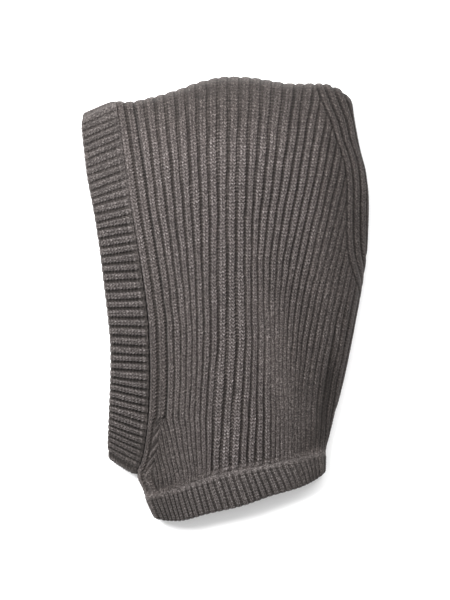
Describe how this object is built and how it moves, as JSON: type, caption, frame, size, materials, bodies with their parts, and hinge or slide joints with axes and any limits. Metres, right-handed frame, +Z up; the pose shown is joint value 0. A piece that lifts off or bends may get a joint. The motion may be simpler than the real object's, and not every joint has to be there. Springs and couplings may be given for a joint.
{
  "type": "knit hood",
  "caption": "Rib-knit pull-on hood with a doubled band round the face opening and a folded neck hem, lying flat on its side.",
  "frame": {"origin": "under the middle of the hood's box, on the surface that the hood lies on", "axes": "+Y from the neck hem to the crown, +X from the face opening to the back of the head, +Z up from the surface, through the hood's flattened depth"},
  "size_m": [0.246, 0.3822, 0.045],
  "materials": {
    "body_rib": "heathered warm grey wool, chunky rib knit",
    "band_rib": "heathered warm grey wool, doubled rib",
    "hem_rib": "heathered warm grey wool, folded fine rib"
  },
  "bodies": {
    "root": {"hood_body": "body_rib", "face_band": "band_rib", "neck_hem": "hem_rib"}
  },
  "joints": []
}
